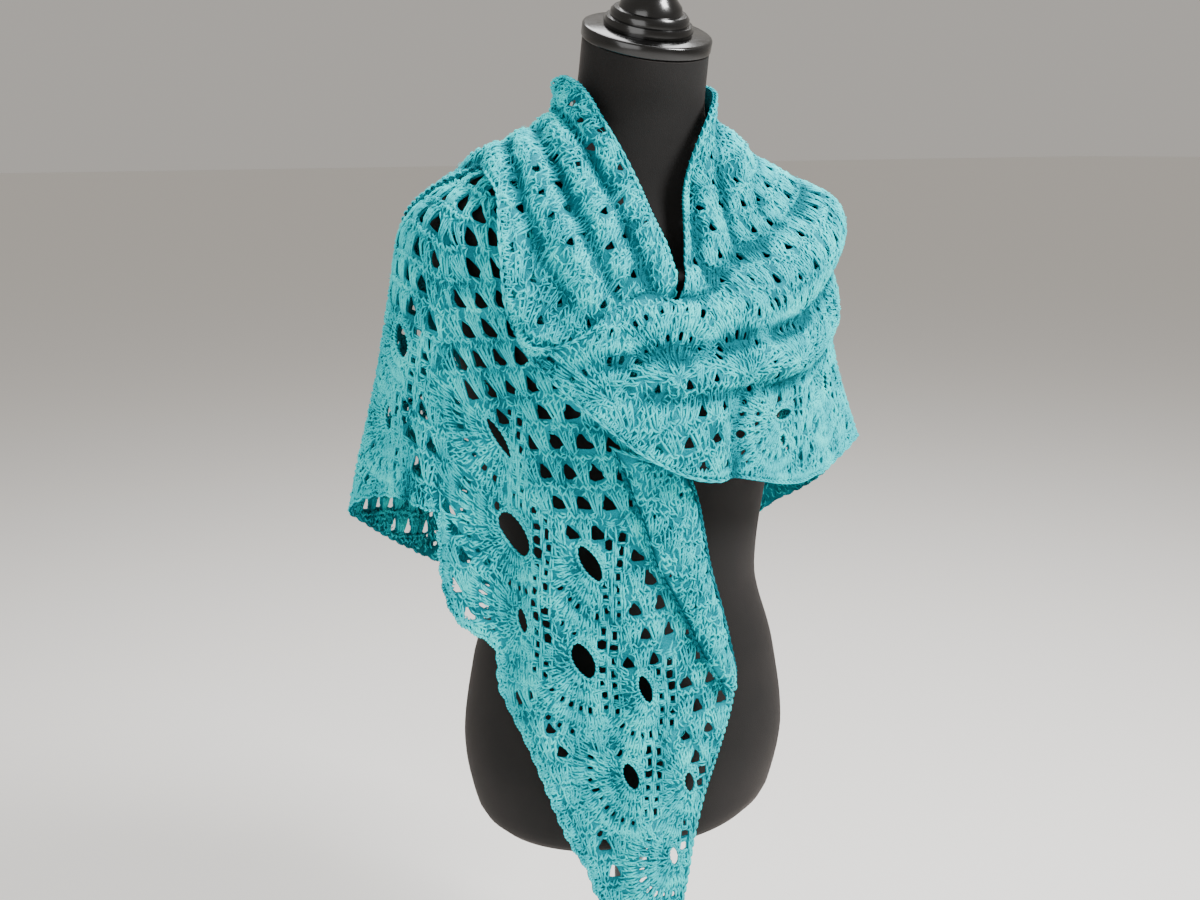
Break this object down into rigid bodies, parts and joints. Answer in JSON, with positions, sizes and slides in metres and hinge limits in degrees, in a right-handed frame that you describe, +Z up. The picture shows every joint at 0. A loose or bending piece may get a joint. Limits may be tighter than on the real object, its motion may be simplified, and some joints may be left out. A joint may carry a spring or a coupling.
{
  "type": "crochet shawl on dress form",
  "caption": "Triangular crochet shawl with a fan border, wrapped as a cowl round a limbless velvet dress form that stands on a pole and a round base.",
  "frame": {"origin": "centre of the round base plate's underside, where the stand rests", "axes": "+Z up, -Y the way the form faces, +X the form's left"},
  "size_m": [0.5142, 0.3777, 1.1941],
  "materials": {
    "turquoise_crochet": "fuzzy wool-blend yarn, crocheted",
    "black_velvet": "short pile velvet",
    "black_gloss_plastic": "gloss lacquer",
    "black_painted_steel": "satin black paint"
  },
  "bodies": {
    "root": {"front_wing": "turquoise_crochet", "front_edge_roll": "turquoise_crochet", "right_shoulder": "turquoise_crochet", "back_panel": "turquoise_crochet", "left_shoulder": "turquoise_crochet", "chest_cowl": "turquoise_crochet", "shoulder_pleats": "turquoise_crochet", "shoulder_tail": "turquoise_crochet", "dress_form_body": "black_velvet", "neck_cap": "black_gloss_plastic", "neck_finial": "black_gloss_plastic", "stand_socket": "black_gloss_plastic", "stand_pole": "black_painted_steel", "stand_base": "black_painted_steel"}
  },
  "joints": []
}
